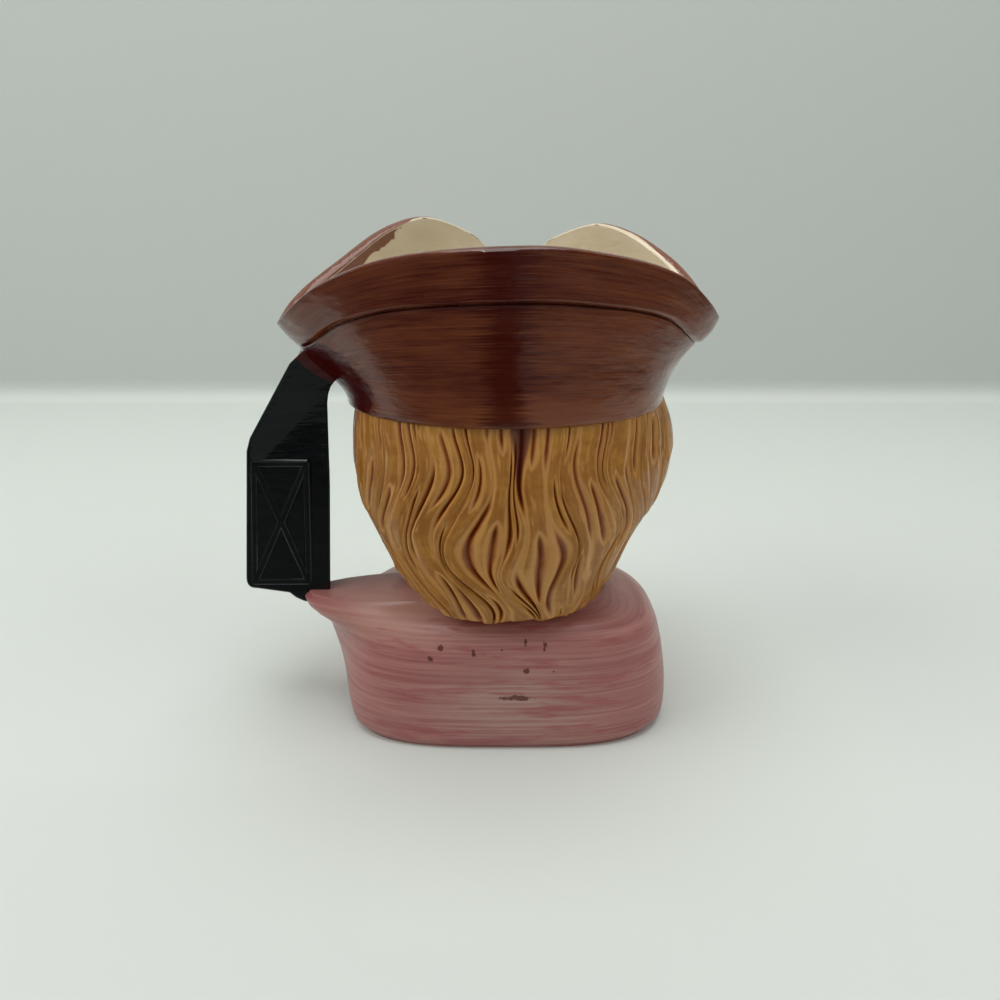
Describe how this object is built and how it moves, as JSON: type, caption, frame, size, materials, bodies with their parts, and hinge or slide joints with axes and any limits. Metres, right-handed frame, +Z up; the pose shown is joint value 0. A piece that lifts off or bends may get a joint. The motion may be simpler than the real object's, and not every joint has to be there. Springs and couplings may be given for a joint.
{
  "type": "toby jug",
  "caption": "Hollow glazed jug modelled as a watchman's head: the rim of a three-cornered hat is its mouth, and a lantern between hat and shoulder is its handle.",
  "frame": {"origin": "middle of the flat underside, below the axis of the head", "axes": "+Z up, the face looks along -Y, the lantern handle is on the +X side"},
  "size_m": [0.1299, 0.1075, 0.1424],
  "materials": {
    "jug": "hand-painted brown, ochre, pink and black under a clear gloss glaze, cream inside"
  },
  "bodies": {
    "root": {"jug": "jug"}
  },
  "joints": []
}
